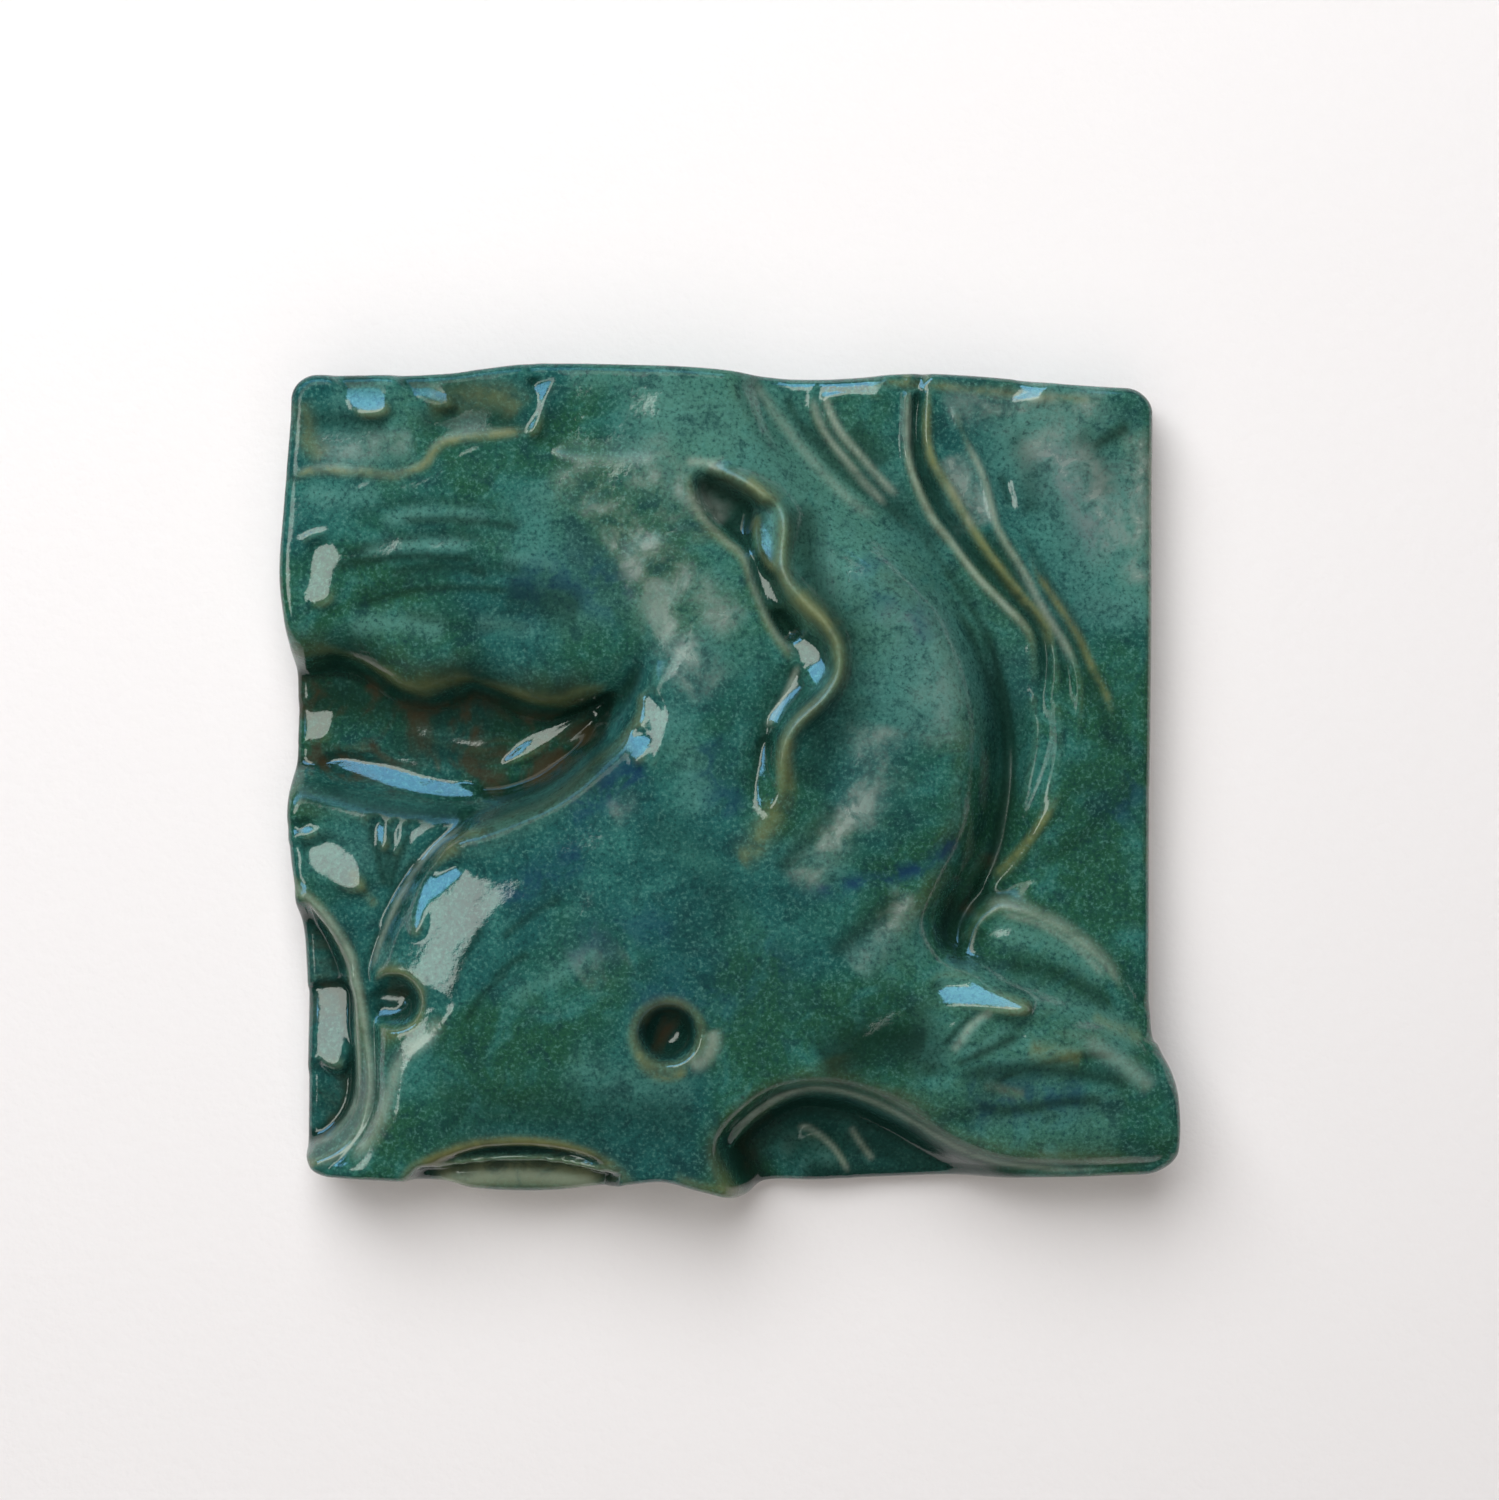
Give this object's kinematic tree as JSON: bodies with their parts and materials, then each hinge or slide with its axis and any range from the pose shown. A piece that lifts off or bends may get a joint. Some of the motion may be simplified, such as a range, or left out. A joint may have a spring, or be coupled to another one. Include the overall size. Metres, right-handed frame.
{
  "type": "ceramic relief tile",
  "caption": "Nearly square glazed ceramic tile in high relief, with a fish seen from above, ruffled and paddle fins, deep eye pits and a slit mouth, on a flat back for a wall.",
  "frame": {"origin": "middle of the flat back, in its plane", "axes": "+Z out of the back towards the relief, +Y to the tile's top edge, +X to its right edge as seen from the front"},
  "size_m": [0.1042, 0.0972, 0.0184],
  "materials": {
    "teal_glaze": "glossy, mottled teal green, thin and olive brown on the ridges, dark in the hollows"
  },
  "bodies": {
    "root": {"fish_relief_tile": "teal_glaze"}
  },
  "joints": []
}
